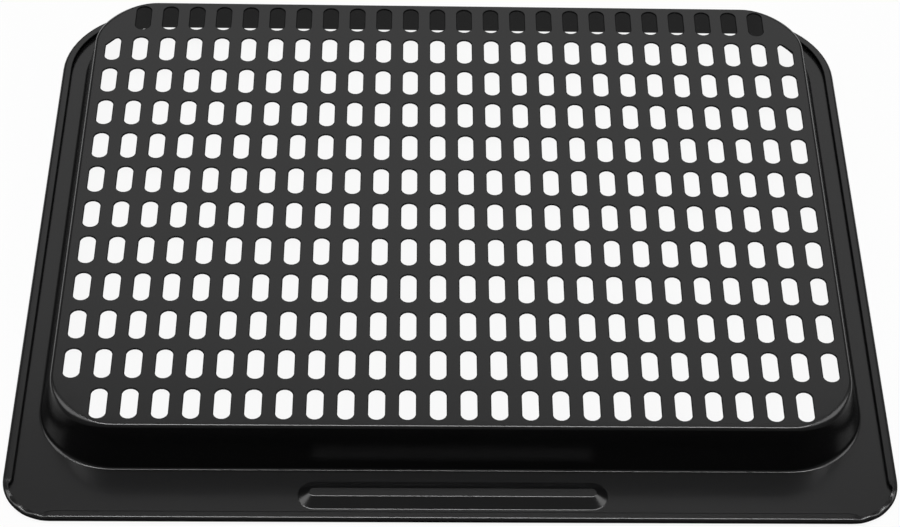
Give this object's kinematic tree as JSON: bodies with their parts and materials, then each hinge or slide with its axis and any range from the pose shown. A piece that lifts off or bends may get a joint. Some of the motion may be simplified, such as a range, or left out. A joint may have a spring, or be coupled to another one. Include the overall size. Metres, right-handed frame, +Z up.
{
  "type": "perforated baking tray",
  "caption": "Shallow pressed-steel baking tray with a slotted base, tapered walls, a wide flange with a grip rib and a folded hem, lying on its rim.",
  "frame": {"origin": "middle of the footprint, on the surface that the rim lies on", "axes": "+Z up through the slotted base, +X along the width, -Y towards the front flange with the grip rib"},
  "size_m": [0.4192, 0.346, 0.0264],
  "materials": {
    "coated_steel": "satin black non-stick coating"
  },
  "bodies": {
    "root": {"perforated_tray": "coated_steel"}
  },
  "joints": []
}
